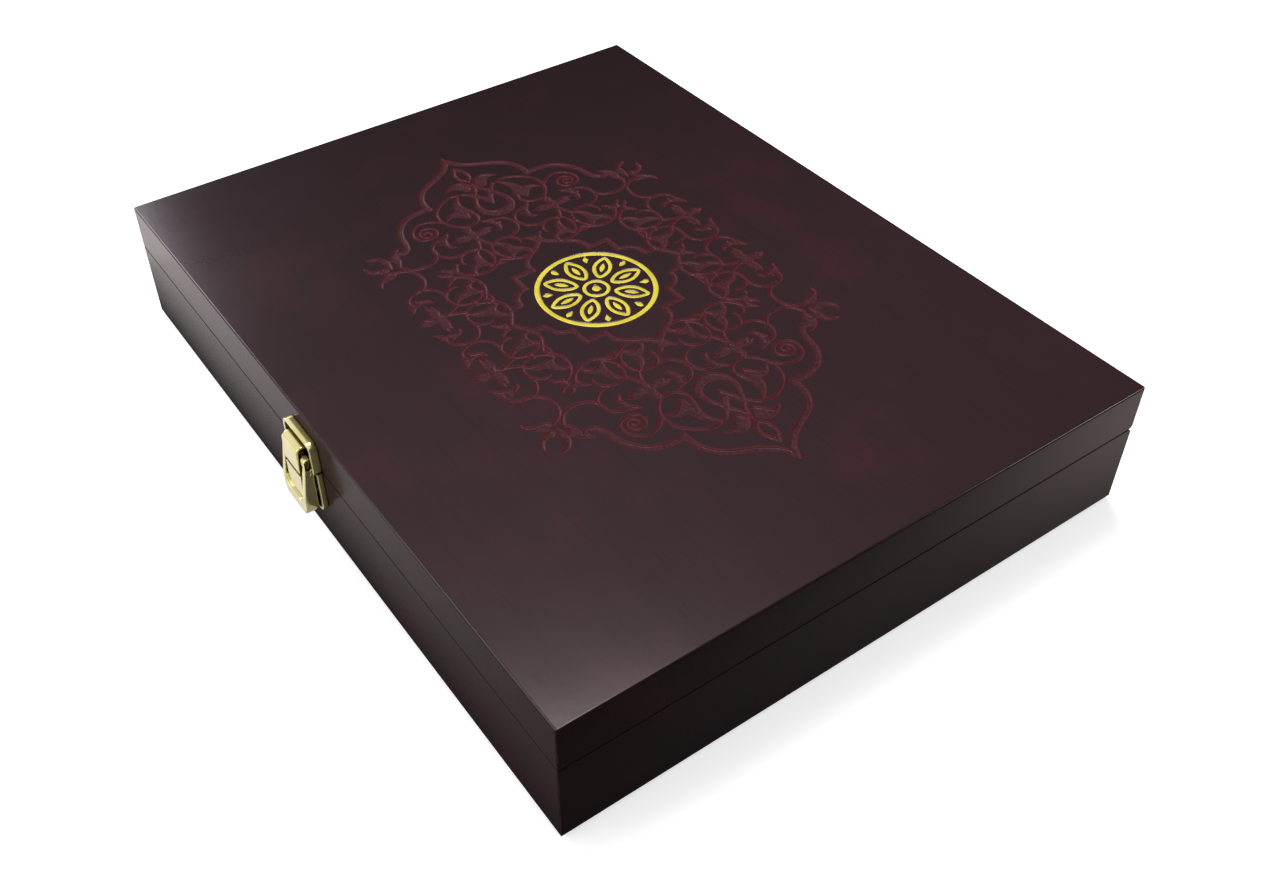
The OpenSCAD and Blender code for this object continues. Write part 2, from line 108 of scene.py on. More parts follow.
UNIT_LEAVES = [
    [(19.6, 64.0), (17.4, 64.1), (15.0, 64.6), (13.0, 64.3), (10.6, 63.0, T), (13.2, 62.6, T), (12.2, 61.0, T),
     (14.6, 60.6), (16.8, 60.1), (18.8, 60.8), (19.8, 62.0)],
    [(7.2, 68.4), (9.2, 69.0), (12.5, 70.2, T), (11.8, 68.4), (10.4, 67.0), (9.6, 66.0), (9.2, 64.4), (8.8, 62.8),
     (9.0, 61.2), (10.3, 59.0, T), (8.2, 59.3), (6.9, 61.0), (6.3, 63.2), (5.0, 64.8, T), (6.8, 65.0), (7.6, 65.8)],
    [(17.6, 52.4, T), (15.2, 51.6), (13.2, 50.0), (11.8, 47.6), (11.2, 45.0, T), (9.0, 43.6), (7.1, 41.6), (6.0, 39.2),
     (6.4, 37.6), (7.8, 37.6), (8.2, 39.2), (9.6, 40.4), (11.4, 40.7), (13.2, 40.2), (14.6, 38.8), (15.4, 38.0),
     (16.2, 38.6), (15.8, 40.4), (15.1, 43.0), (15.0, 46.0), (15.5, 49.0), (16.8, 51.2)],
]
MIDDLE_STEMS = [
    stem(3.4, (FOLD, 61.2), (FOLD, 64.8)),
    stem(1.6, (19.4, 45.3), (22.0, 45.3)),
    stem(1.1, (18.3, 38.1), (FOLD, 37.7), (23.1, 38.1)),
    stem(1.5, (31.8, 36.2), (34.2, 36.9), (36.6, 38.2), (38.7, 40.2), (40.3, 42.6), (41.2, 44.2)),
    stem(1.5, (40.2, 62.0), (40.7, 59.6), (41.9, 57.4), (44.0, 55.4), (46.6, 54.3), (49.4, 54.1), (52.2, 54.5),
         (54.6, 55.7), (56.4, 57.7), (57.6, 60.2), (57.9, 61.6)),
]
MIDDLE_LEAVES = [
    [(41.4, 45.9), (42.8, 46.5), (44.0, 47.8), (46.2, 48.3, T), (45.3, 46.9), (44.4, 45.9), (43.8, 44.3), (43.2, 43.2),
     (39.6, 43.2), (39.0, 44.3), (38.4, 45.9), (37.5, 46.9), (36.6, 48.3, T), (38.8, 47.8), (40.0, 46.5)],
    [(0.0, 45.9), (1.4, 46.5), (2.6, 47.8), (4.8, 48.3, T), (3.9, 46.9), (3.0, 45.9), (2.4, 44.3), (2.0, 43.0),
     (-2.0, 43.0), (-2.4, 44.3), (-3.0, 45.9)],
]
CORNER_LEAVES = [
    [(FOLD, 71.8, T), (21.9, 70.2), (22.9, 68.2), (22.5, 66.3), (21.6, 64.6), (19.8, 64.6), (18.9, 66.3), (18.5, 68.2),
     (19.5, 70.2)],
    [(69.6, FOLD), (68.2, 22.5), (66.3, 22.2), (64.6, 21.6), (64.6, 19.8), (66.3, 19.2), (68.2, 18.9)],
    [(51.2, 70.8, T), (53.2, 71.3), (55.2, 70.4), (57.2, 68.7), (58.8, 66.6), (59.5, 64.6), (59.0, 62.6), (57.9, 61.0),
     (56.2, 62.0), (55.2, 63.8), (55.0, 66.4), (54.6, 68.6), (53.2, 69.9)],
    [(68.4, 71.0, T), (66.2, 71.6), (64.0, 70.9), (62.0, 69.0), (60.7, 66.6), (60.2, 64.4), (61.0, 62.6), (62.6, 62.9),
     (63.8, 64.4), (63.3, 66.4), (64.3, 68.6), (66.4, 69.8)],
    [(72.6, 67.3, T), (71.2, 66.0), (70.4, 64.2), (69.2, 62.8), (66.6, 62.8), (64.4, 62.5), (62.4, 61.9), (60.9, 61.2),
     (62.6, 60.3), (65.2, 59.7), (67.6, 59.8), (69.8, 60.8), (71.6, 62.4), (72.8, 64.6)],
    [(60.6, 57.3), (63.0, 57.9), (65.6, 58.6), (67.8, 58.6), (69.8, 57.4), (71.4, 55.4), (72.4, 53.4), (72.4, 51.8, T),
     (70.8, 53.4), (69.4, 54.9), (67.0, 54.9), (64.6, 54.9), (62.6, 55.8)],
]
END_STEMS = [
    stem(1.6, (66.3, 60.4), (66.4, 58.2)),
    stem(1.4, (78.4, 12.6), (76.4, 11.5), (74.0, 11.3), (71.6, 12.5), (70.0, 14.6), (69.3, 17.4), (69.7, 20.4),
         (72.2, 23.2), (75.8, 25.5), (80.0, 26.5), (84.6, 25.8), (88.2, 23.5), (91.4, 19.7), (93.3, 15.7), (93.7, 13.0),
         (93.0, 10.4)),
    stem(1.25, (78.8, 27.2), (81.4, 29.8), (82.9, 33.8), (82.5, 37.4), (80.6, 40.1), (78.0, 41.6), (75.4, 42.1),
         (73.0, 41.5), (71.3, 39.9), (70.6, 37.4), (70.8, 35.0), (72.1, 33.0), (74.5, 31.9), (77.0, 32.7), (78.5, 34.5),
         (78.7, 36.8), (77.5, 38.7), (75.4, 39.5), (73.4, 38.8), (72.5, 37.2), (73.1, 35.5), (74.5, 34.8), (75.9, 35.6),
         (76.1, 37.0), (75.0, 37.6), end=0.9),
    stem(1.8, (87.6, 3.9), (89.2, 5.0), (90.8, 6.2), (92.4, 7.9)),
    stem(1.7, (85.0, 5.6), (88.5, 4.0), (92.0, 1.5), (95.2, 0.2)),
    stem(1.7, (101.0, 0.0), (102.6, 1.9), (105.0, 2.7), (107.3, 2.8), (109.8, 1.9), (113.0, 0.0)),
    stem(0.9, (96.8, 0.6), (98.6, -0.4), (100.6, 0.0)),
    stem(2.7, (69.8, 55.0), (68.6, 53.6), (68.3, 51.8), (69.3, 49.9), (71.4, 48.4), (74.4, 47.5), (78.2, 46.9),
         (82.0, 45.6), (85.6, 43.4), (88.4, 40.6), (90.3, 37.0), (91.2, 33.2), (91.5, 29.0), (91.5, 26.0)),
    stem(2.7, (91.0, 26.0), (94.6, 26.0), (98.2, 25.4), (101.6, 23.9), (104.6, 21.6), (107.0, 18.5), (109.2, 14.4),
         (111.6, 9.6), (114.6, 5.2), (118.0, 2.0), (121.4, 0.3)),
    stem(2.8, (119.0, 1.1), (124.6, 0.0), end=0.2),
    stem(2.3, (0.0, 41.6), (2.2, 40.4), (5.0, 38.5), (8.4, 36.6)),
    stem(2.3, (8.4, 36.8), (8.5, 34.0), (8.6, 31.6)),
    stem(2.3, (8.8, 31.4), (11.0, 31.0), (13.6, 29.9), (15.6, 28.0), (16.7, 25.6), (17.0, 23.7)),
    stem(2.3, (17.0, 23.7), (25.8, 23.7)),
    stem(2.3, (25.8, 23.7), (25.8, 14.2)),
    stem(2.3, (25.8, 14.2), (29.4, 14.2), (32.2, 13.0), (34.6, 10.6), (36.6, 7.6), (38.6, 4.6), (40.6, 2.1), (43.0, 0.4),
         (45.5, 0.0)),
]
END_LEAVES = [
    [(77.8, 24.6, T), (79.6, 23.7), (81.2, 22.2), (82.2, 20.0), (82.3, 17.3, T), (84.5, 16.9), (87.0, 16.0), (89.4, 14.2),
     (91.4, 11.9), (92.9, 9.6, T), (90.8, 11.0), (88.2, 12.1), (85.5, 12.6), (82.8, 12.3), (80.0, 11.4), (77.6, 11.0),
     (77.0, 12.0), (78.3, 13.2, T), (77.0, 13.6), (75.6, 13.9), (74.3, 15.4, T), (75.8, 16.6), (77.4, 17.9), (78.7, 19.7),
     (78.9, 21.6), (78.4, 23.2)],
    [(68.2, 0.0), (68.6, 2.6), (70.0, 5.0), (72.3, 7.2), (75.0, 8.4), (78.5, 8.7), (82.0, 7.9), (85.0, 6.4), (88.0, 4.8, T),
     (86.4, 3.6, T), (84.0, 4.9), (81.0, 6.0), (78.0, 6.1), (75.6, 5.4), (74.0, 3.8), (73.2, 1.8), (73.0, 0.0),
     (73.2, -1.8), (68.6, -2.6)],
    [(97.8, 13.5, T), (99.3, 12.3), (100.8, 10.4), (101.8, 8.0), (102.0, 5.8), (101.0, 3.6), (99.3, 2.0), (97.2, 0.8),
     (96.4, 0.4, T), (96.2, 1.8), (94.6, 2.2), (93.3, 3.2), (93.2, 4.5), (94.4, 5.8), (96.4, 7.2), (98.0, 8.8), (98.5, 10.3),
     (98.0, 12.0)],
    [(78.2, 0.0, T), (80.6, 1.3), (84.0, 3.0), (87.6, 4.9), (89.0, 4.6), (88.6, 2.9), (86.6, 1.6), (84.6, 0.0, T),
     (84.0, -1.2), (79.6, -0.8)],
    [(89.7, 24.7, T), (93.0, 24.7, T), (92.9, 27.3, T), (90.1, 27.3, T)],
    [(15.9, 22.55, T), (18.0, 22.55, T), (18.0, 24.85, T), (15.9, 24.85, T)],
    [(24.65, 22.55, T), (26.95, 22.55, T), (26.95, 24.85, T), (24.65, 24.85, T)],
    [(24.65, 13.05, T), (26.95, 13.05, T), (26.95, 15.35, T), (24.65, 15.35, T)],
]


def fold(shape):
    return [(2 * FOLD - q[0], *q[1:]) for q in shape]


def swap(shape):
    return [(q[1], q[0], *q[2:]) for q in shape]


def quarter():
    """All stems and leaves of one quarter: the unit over the long side, its mirror image in the diagonal, and the end."""
    stems = UNIT_STEMS + [fold(s) for s in UNIT_STEMS] + MIDDLE_STEMS
    leaves = UNIT_LEAVES + [fold(s) for s in UNIT_LEAVES] + MIDDLE_LEAVES
    stems = stems + [swap(s) for s in stems] + END_STEMS
    leaves = leaves + [swap(s) for s in leaves] + CORNER_LEAVES + END_LEAVES
    return stems, leaves


def field(xs, ys):
    """Signed distance in mm from each grid place (x across, y down the rows) to the nearest edge of the ornament, up to FAR;
    inside is negative."""
    d = np.full((len(ys), len(xs)), FAR)
    stems, leaves = quarter()
    reach = 2.0

    def window(lo, hi):
        i0, i1 = np.searchsorted(xs, (lo[0] - reach, hi[0] + reach))
        j0, j1 = np.searchsorted(ys, (lo[1] - reach, hi[1] + reach))
        return slice(j0, j1), slice(i0, i1)
    for s in stems:
        c = curve(s)
        for a, b in zip(c[:-1], c[1:]):
            r = max(a[2], b[2]) / 2
            w = window(np.minimum(a, b)[:2] - r, np.maximum(a, b)[:2] + r)
            if d[w].size == 0:
                continue
            X, Y = np.meshgrid(xs[w[1]], ys[w[0]])
            e = b - a
            t = np.clip(((X - a[0]) * e[0] + (Y - a[1]) * e[1]) / max(e[0] ** 2 + e[1] ** 2, 1e-9), 0, 1)
            v = np.hypot(X - a[0] - t * e[0], Y - a[1] - t * e[1]) - (a[2] + t * e[2]) / 2
            d[w] = np.minimum(d[w], v)
    for s in leaves:
        p = outline(s)
        w = window(p.min(0), p.max(0))
        if d[w].size == 0:
            continue
        X, Y = np.meshgrid(xs[w[1]], ys[w[0]])
        far = np.full(X.shape, 1e9)
        inside = np.zeros(X.shape, bool)
        for a, b in zip(p, np.roll(p, -1, 0)):
            e = b - a
            t = np.clip(((X - a[0]) * e[0] + (Y - a[1]) * e[1]) / max(e @ e, 1e-9), 0, 1)
            far = np.minimum(far, np.hypot(X - a[0] - t * e[0], Y - a[1] - t * e[1]))
            crosses = (a[1] > Y) != (b[1] > Y)
            if abs(e[1]) > 1e-12:
                inside ^= crosses & (X < a[0] + (Y - a[1]) * e[0] / e[1])
        d[w] = np.minimum(d[w], np.where(inside, -far, far))
    return d


# Rosette of gilt lines in the middle of the medallion: rings, petals and drops that don't touch each other
RING_R, RING_W = 24.4, 2.3
HUB_R, HUB_W = 5.0, 1.7
PETAL_W = 1.75
PETAL = [(8.2, 0.0), (9.6, 1.7), (12.4, 3.0), (15.6, 3.3), (18.6, 2.3), (21.4, 0.0), (18.6, -2.3), (15.6, -3.3),
         (12.4, -3.0), (9.6, -1.7)]
DROP = [(11.6, 0.3), (13.0, 1.7), (14.6, 2.3), (16.2, 1.7), (17.6, 0.3)]
GEM = [(18.2, 0.3), (19.8, 2.0), (20.6, 2.6), (21.4, 2.0), (22.3, 0.3)]


def turned(points, angle):
    """Points (x, y, ...) turned about the middle by an angle in degrees."""
    c, s = math.cos(math.radians(angle)), math.sin(math.radians(angle))
    return [(c * q[0] - s * q[1], s * q[0] + c * q[1], *q[2:]) for q in points]


def gilt_paths():
    """Every gilt line as (points with width, closed): two rings, eight petal loops, eight drops, eight gems and the hub's
    dot."""
    a = np.radians(np.arange(0, 360, 3.0))
    paths = [(np.stack([r * np.cos(a), r * np.sin(a), np.full(len(a), w)], 1), True)
             for r, w in ((RING_R, RING_W), (HUB_R, HUB_W))]
    loop = outline(PETAL, 6)
    for k in range(8):
        turn = np.array(turned(loop, 45 * k))
        paths.append((np.column_stack([turn, np.full(len(turn), PETAL_W)]), True))
        paths.append((curve([(*turned([(r, 0)], 45 * k)[0], w) for r, w in DROP]), False))
        paths.append((curve([(*turned([(r, 0)], 45 * k + 22.5)[0], w) for r, w in GEM]), False))
    paths.append((curve([(x, 0, w) for x, w in ((-1.9, 0.3), (-1.3, 2.6), (0, 3.8), (1.3, 2.6), (1.9, 0.3))]), False))
    return paths


def gilt_field(xs, ys):
    """Signed distance in mm to the nearest edge of the gilt lines, as in field()."""
    d = np.full((len(ys), len(xs)), FAR)
    reach = RING_R + 2.6
    n_x, n_y = np.searchsorted(xs, reach), np.searchsorted(ys, reach)
    X, Y = np.meshgrid(xs[:n_x], ys[:n_y])
    for path, closed in gilt_paths():
        ends = np.roll(path, -1, 0) if closed else path[1:]
        for a, b in zip(path, ends):
            e = b - a
            t = np.clip(((X - a[0]) * e[0] + (Y - a[1]) * e[1]) / max(e[0] ** 2 + e[1] ** 2, 1e-9), 0, 1)
            v = np.hypot(X - a[0] - t * e[0], Y - a[1] - t * e[1]) - (a[2] + t * e[2]) / 2
            d[:n_y, :n_x] = np.minimum(d[:n_y, :n_x], v)
    return d


# Where the medallion lies on the lid: it sits a little off the middle and is turned by about half a degree
SHIFT_X, SHIFT_Y = -0.15, 0.68
LEAN_X, LEAN_Y = 0.0091, 0.0108


def place(x, y):
    """Place on the lid, in mm, of a place in the medallion."""
    return SHIFT_X + x - LEAN_X * y, SHIFT_Y + y + LEAN_Y * x


# Shader nodes

def linear(r, g, b):
    """Linear colour of an sRGB colour given from 0 to 255."""
    c = np.array([r, g, b]) / 255
    return (*np.where(c <= 0.04045, c / 12.92, ((c + 0.055) / 1.055) ** 2.4), 1.0)


class Tree:
    """Short way to add nodes to a node tree and to link them."""

    def __init__(self, tree):
        self.tree = tree

    def fill(self, node, inputs):
        """Sets a node's inputs to plain values, or links them to other nodes' outputs."""
        for k, v in inputs.items():
            if isinstance(v, (int, float, tuple)):
                node.inputs[k].default_value = v
            else:
                self.tree.links.new(v, node.inputs[k])

    def add(self, kind, inputs=None, **props):
        n = self.tree.nodes.new("ShaderNode" + kind)
        for k, v in props.items():
            setattr(n, k, v)
        self.fill(n, inputs or {})
        return n

    def math(self, op, a, b=0.0):
        return self.add("Math", {0: a, 1: b}, operation=op).outputs[0]

    def times(self, a, b):
        return self.math("MULTIPLY", a, b)

    def less(self, a, b):
        return self.math("SUBTRACT", a, b)

    def apart(self, a, b):
        """Distance between two values."""
        return self.math("ABSOLUTE", self.less(a, b))

    def mix(self, factor, a, b):
        return self.add("Mix", {0: factor, 6: a, 7: b}, data_type="RGBA").outputs[2]

    def span(self, value, low, high, start=0.0, end=1.0, kind="LINEAR"):
        """Value run from start at low to end at high, and held past both."""
        ends = {"From Min": low, "From Max": high, "To Min": start, "To Max": end}
        return self.add("MapRange", {"Value": value, **ends}, interpolation_type=kind).outputs[0]

    def ramp(self, value, low, high):
        """Value run smoothly from 0 at low to 1 at high."""
        return self.span(value, low, high, kind="SMOOTHSTEP")

    def axes(self, at):
        return self.add("SeparateXYZ", {0: at}).outputs

    def stretched(self, at, scale):
        return self.add("Mapping", {"Vector": at, "Scale": scale}).outputs[0]

    def noise(self, at, scale, detail, roughness=0.5, distortion=0.0):
        values = {"Scale": scale, "Detail": detail, "Roughness": roughness, "Distortion": distortion}
        return self.add("TexNoise", {"Vector": at, **values}).outputs["Fac"]

    def bump(self, height, strength, distance):
        return self.add("Bump", {"Height": height, "Strength": strength, "Distance": distance}).outputs[0]

    def soft_ray(self, ray):
        """1 for the lacquer's blurred reflections, and 0 for the camera, plain light and the metal's sharp reflections."""
        return self.less(ray["Is Glossy Ray"], ray["Is Singular Ray"])


def group(name, inputs, outputs):
    """Node group with named sockets; returns the group, its tree helper, its inputs and its end node."""
    g = bpy.data.node_groups.new(name, "ShaderNodeTree")
    for n, kind in inputs:
        g.interface.new_socket(n, in_out="INPUT", socket_type="NodeSocket" + kind)
    for n, kind in outputs:
        g.interface.new_socket(n, in_out="OUTPUT", socket_type="NodeSocket" + kind)
    return g, Tree(g), g.nodes.new("NodeGroupInput").outputs, g.nodes.new("NodeGroupOutput")


# Stain: its ground, red clouds, grain and pores; and painted shade for the darker left end and right face
STAIN, STAIN_RED = linear(49, 33, 37), linear(68, 33, 39)
STAIN_GRAIN, STAIN_PORE = linear(38, 22, 26), linear(30, 17, 20)
PAINTED_SHADE_LEFT, PAINTED_SHADE_RIGHT = linear(24, 14, 17), linear(14, 6, 8)


def stained_and_shaded_wood():
    """Stain under lacquer: soft red clouds, painted shade that darkens it towards -X and on the +X face, faint lines of
    grain along X and an uneven polish."""
    g, t, given, o = group("Stained and shaded wood", [("Place", "Vector")],
                           [("Colour", "Color"), ("Polish", "Float"), ("Normal", "Vector")])
    at = given["Place"]
    clouds = t.noise(at, 17.0, 3.0, roughness=0.55)
    blotch = t.noise(at, 46.0, 2.0)
    grain = t.noise(t.stretched(at, (6.0, 150.0, 150.0)), 5.0, 4.0, roughness=0.6, distortion=0.3)
    pore = t.noise(t.stretched(at, (60.0, 1100.0, 1100.0)), 1.0, 2.0)
    red = t.times(t.ramp(clouds, 0.47, 0.70), t.ramp(blotch, 0.35, 0.65))
    colour = t.mix(t.times(red, 0.5), STAIN, STAIN_RED)
    colour = t.mix(t.times(t.ramp(grain, 0.45, 0.75), 0.22), colour, STAIN_GRAIN)
    colour = t.mix(t.times(t.ramp(pore, 0.60, 0.80), 0.25), colour, STAIN_PORE)
    x = t.axes(at)[0]
    # painted shade: darker towards -X, where the light falls off across the lid, and on the +X face, which the lamps
    # leave in shade
    colour = t.mix(t.span(x, -0.17, 0.05, start=0.64, end=0.0), colour, PAINTED_SHADE_LEFT)
    colour = t.mix(t.times(t.ramp(x, 0.1690, 0.1698), 0.5), colour, PAINTED_SHADE_RIGHT)
    peel = t.noise(at, 420.0, 1.0)
    height = t.math("ADD", t.times(peel, 0.5), t.times(grain, 0.5))
    t.fill(o, {"Colour": colour, "Polish": t.times(clouds, 0.08), "Normal": t.bump(height, 0.05, 0.0004)})
    return g


def dust():
    """Mask of a few pale specks lying on a surface, each in its own cell, where the cell's own number is high."""
    g, t, given, o = group("Dust specks", [("Place", "Vector"), ("Cells", "Float"), ("Size", "Float")], [("Mask", "Float")])
    cell = t.add("TexVoronoi", {"Vector": given["Place"], "Scale": given["Cells"]}).outputs
    number = t.add("SeparateColor", {"Color": cell["Color"]}).outputs
    chosen = t.math("GREATER_THAN", number[0], 0.72)
    size = t.times(given["Size"], t.math("ADD", number[1], 0.35))
    t.fill(o, {"Mask": t.times(chosen, t.math("LESS_THAN", cell["Distance"], size))})
    return g


def worn_and_glinting_edges():
    """Mask of rounded edges, for edges rubbed pale on the lacquer and for a painted highlight on the metal: where a
    rounded normal leaves the true one, broken up by noise.
    """
    g, t, given, o = group("Worn and glinting edges", [("Place", "Vector"), ("Width", "Float")], [("Mask", "Float")])
    soft = t.add("Bevel", {"Radius": given["Width"]}, samples=4).outputs[0]
    true = t.add("NewGeometry").outputs["Normal"]
    dot = t.add("VectorMath", {0: soft, 1: true}, operation="DOT_PRODUCT").outputs["Value"]
    bent = t.ramp(t.less(1.0, dot), 0.02, 0.25)
    t.fill(o, {"Mask": t.times(bent, t.ramp(t.noise(given["Place"], 260.0, 2.0), 0.30, 0.65))})
    return g


WOOD, DUST, WEAR_AND_GLINT = stained_and_shaded_wood(), dust(), worn_and_glinting_edges()


def material(name):
    """New material; returns it, its tree helper, its shader and its Object coordinates."""
    m = bpy.data.materials.new(name)
    m.use_nodes = True
    m.node_tree.nodes.clear()
    t = Tree(m.node_tree)
    shader = t.add("BsdfPrincipled")
    t.add("OutputMaterial", {"Surface": shader.outputs[0]})
    return m, t, shader, t.add("TexCoord").outputs["Object"]


def use(t, g, **inputs):
    """Outputs of a node group placed in a material's tree."""
    return t.add("Group", inputs, node_tree=g).outputs


def lacquer(name, carved):
    """Dark stained wood under a satin lacquer, dull and dark in the seam between lid and base; the carved lid also
    shows its cut floors paler and their edges red, partly the cut's red and partly a painted highlight on their lip."""
    m, t, s, at = material(name)
    wood = use(t, WOOD, Place=at)
    z = t.axes(at)[2]
    off_joint = t.ramp(t.apart(z, board_lo[2] * MM), 0.6 * MM, 1.2 * MM)
    edge_wear_and_glint = t.times(use(t, WEAR_AND_GLINT, Place=at, Width=0.6 * MM)["Mask"], off_joint)
    colour = t.mix(t.times(edge_wear_and_glint, 0.4), wood["Colour"], linear(104, 76, 76))
    from_seam = t.apart(z, SEAM_Z)
    seam = t.times(t.ramp(from_seam, 0.02 * MM, 0.05 * MM), t.less(1.0, t.ramp(from_seam, 0.36 * MM, 0.46 * MM)))
    colour = t.mix(seam, colour, linear(34, 12, 14))
    dull = t.times(seam, 0.95)
    if carved:
        cut = t.add("Attribute", attribute_name="cut").outputs["Fac"]
        edge = t.add("Attribute", attribute_name="edge").outputs["Fac"]
        floor = t.mix(t.ramp(t.noise(at, 900.0, 2.0), 0.35, 0.65), linear(58, 33, 37), linear(73, 43, 48))
        colour = t.mix(cut, colour, floor)
        # red edges of the cuts: partly the cut's own red, partly a painted highlight on their lip
        colour = t.mix(t.times(t.math("POWER", edge, 2.0), 0.85), colour, linear(108, 32, 41))
        dull_floor = t.math("MINIMUM", t.times(cut, 3.0), 0.88)
        dull_edge = t.math("MINIMUM", t.times(edge, 1.7), 1.0)
        dull = t.math("MAXIMUM", dull_floor, dull_edge)
    specks = use(t, DUST, Place=at, Cells=34.0, Size=0.009)["Mask"]
    colour = t.mix(t.times(specks, 0.55), colour, linear(150, 135, 135))
    t.fill(s, {"Base Color": colour, "Roughness": 0.5, "Specular IOR Level": 0.05, "Normal": wood["Normal"],
               "Coat Weight": t.less(1.0, dull), "Coat Roughness": t.math("ADD", wood["Polish"], 0.13),
               "Coat Normal": wood["Normal"]})
    return m


def metal(name, pale, dark):
    """Polished plated metal with faint brush lines, painted warm bounce light and then painted shade in its hollows,
    and rubbed edges with a painted highlight. The lacquer's blurred reflections see it darker."""
    m, t, s, at = material(name)
    brush = t.noise(t.stretched(at, (300.0, 4000.0, 900.0)), 1.0, 3.0)
    colour = t.mix(t.ramp(t.noise(at, 90.0, 2.0), 0.35, 0.75), pale, dark)
    open_air = t.add("AmbientOcclusion", {"Distance": 3.5 * MM}, samples=6).outputs["AO"]
    # painted bounce light and shade: warm yellow at the mouth of the hollows, near black deep inside
    colour = t.mix(t.ramp(open_air, 0.40, 0.85), linear(196, 168, 66), colour)
    colour = t.mix(t.ramp(open_air, 0.26, 0.66), linear(12, 8, 3), colour)
    edge_wear_and_glint = use(t, WEAR_AND_GLINT, Place=at, Width=0.4 * MM)["Mask"]
    # painted highlight: the metal's rounded edges turn near white, partly rubbed plating and partly painted light
    colour = t.mix(t.times(edge_wear_and_glint, 0.85), colour, linear(255, 252, 236))
    colour = t.mix(t.soft_ray(t.add("LightPath").outputs), colour, linear(96, 80, 56))
    t.fill(s, {"Base Color": colour, "Roughness": 0.0, "Metallic": 0.7, "Normal": t.bump(brush, 0.05, 0.0001)})
    return m


def gilding(name):
    """Flat bright gold paint with a fine tooth."""
    m, t, s, at = material(name)
    colour = t.mix(t.ramp(t.noise(at, 120.0, 2.0), 0.35, 0.70), linear(222, 210, 66), linear(205, 190, 50))
    tooth = t.bump(t.noise(at, 700.0, 2.0), 0.15, 0.0001)
    t.fill(s, {"Base Color": colour, "Roughness": 0.42, "Metallic": 0.15, "Normal": tooth})
    return m


def velvet_cloth(name):
    """Short dark red pile: sheen at glancing angles, brushed patches and a fine tooth."""
    m, t, s, at = material(name)
    brushed = t.noise(at, 38.0, 3.0, distortion=0.6)
    pile = t.noise(at, 2600.0, 1.0)
    colour = t.mix(t.ramp(brushed, 0.38, 0.66), linear(104, 14, 30), linear(124, 19, 38))
    colour = t.mix(t.times(pile, 0.35), colour, linear(60, 4, 16))
    t.fill(s, {"Base Color": colour, "Roughness": 0.95, "Specular IOR Level": 0.15, "Normal": t.bump(pile, 0.35, 0.0003),
               "Sheen Weight": 0.7, "Sheen Roughness": 0.35, "Sheen Tint": linear(225, 120, 135)})
    return m


LACQUER = lacquer("Lacquered wood", False)
CARVED = lacquer("Carved lacquered wood", True)
GOLD = metal("Pale gold plate", linear(232, 225, 170), linear(220, 210, 142))
STEEL = metal("Plated steel", linear(220, 212, 180), linear(190, 178, 140))
GILT = gilding("Gold paint")
VELVET = velvet_cloth("Velvet")


# New surfaces

def piece(name, verts, faces, mat, body, nodes=()):
    """Mesh object at the origin from points in mm, riding on a body and standing for CAD nodes."""
    me = bpy.data.meshes.new(name)
    me.from_pydata((np.asarray(verts) * MM).tolist(), [], faces)
    me.materials.append(mat)
    me.polygons.foreach_set("use_smooth", np.ones(len(me.polygons), bool))
    me.update()
    ob = bpy.data.objects.new(name, me)
    bpy.context.scene.collection.objects.link(ob)
    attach(ob, body)
    if nodes:
        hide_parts(*nodes)
    return ob


def quads(rows, cols, wrap=False, flip=False):
    """Quads of a grid of points stored row by row; wrap joins the last column to the first."""
    r = np.arange(rows - 1)[:, None]
    c = np.arange(cols if wrap else cols - 1)[None, :]
    d = (c + 1) % cols
    q = np.stack([r * cols + c, r * cols + d, (r + 1) * cols + d, (r + 1) * cols + c], -1).reshape(-1, 4)
    return (q[:, ::-1] if flip else q).tolist()


def smooth(x):
    x = np.clip(x, 0, 1)
    return x * x * (3 - 2 * x)


# Carving, in mm: depth and slope of the cuts, place and width of their red edges (partly the cut's red, partly a
# painted highlight on their lip), depth and slope of the gilt lines' grooves, grid step and reach of the ornament's
# grid from the middle, and shares of the way on to the lid's edge
CUT_DEPTH, CUT_SLOPE = 0.42, 0.5
CUT_EDGE, CUT_EDGE_W = -0.05, 0.28
GROOVE_DEPTH, GROOVE_SLOPE = 0.35, 0.3
STEP = 0.32
END_X, END_Y = 127.0, 74.5
WIDEN = np.array([0.12, 0.35, 0.65, 1.0])
QUARTERS = ((1, 1, "back_right"), (-1, 1, "back_left"), (1, -1, "front_right"), (-1, -1, "front_left"))


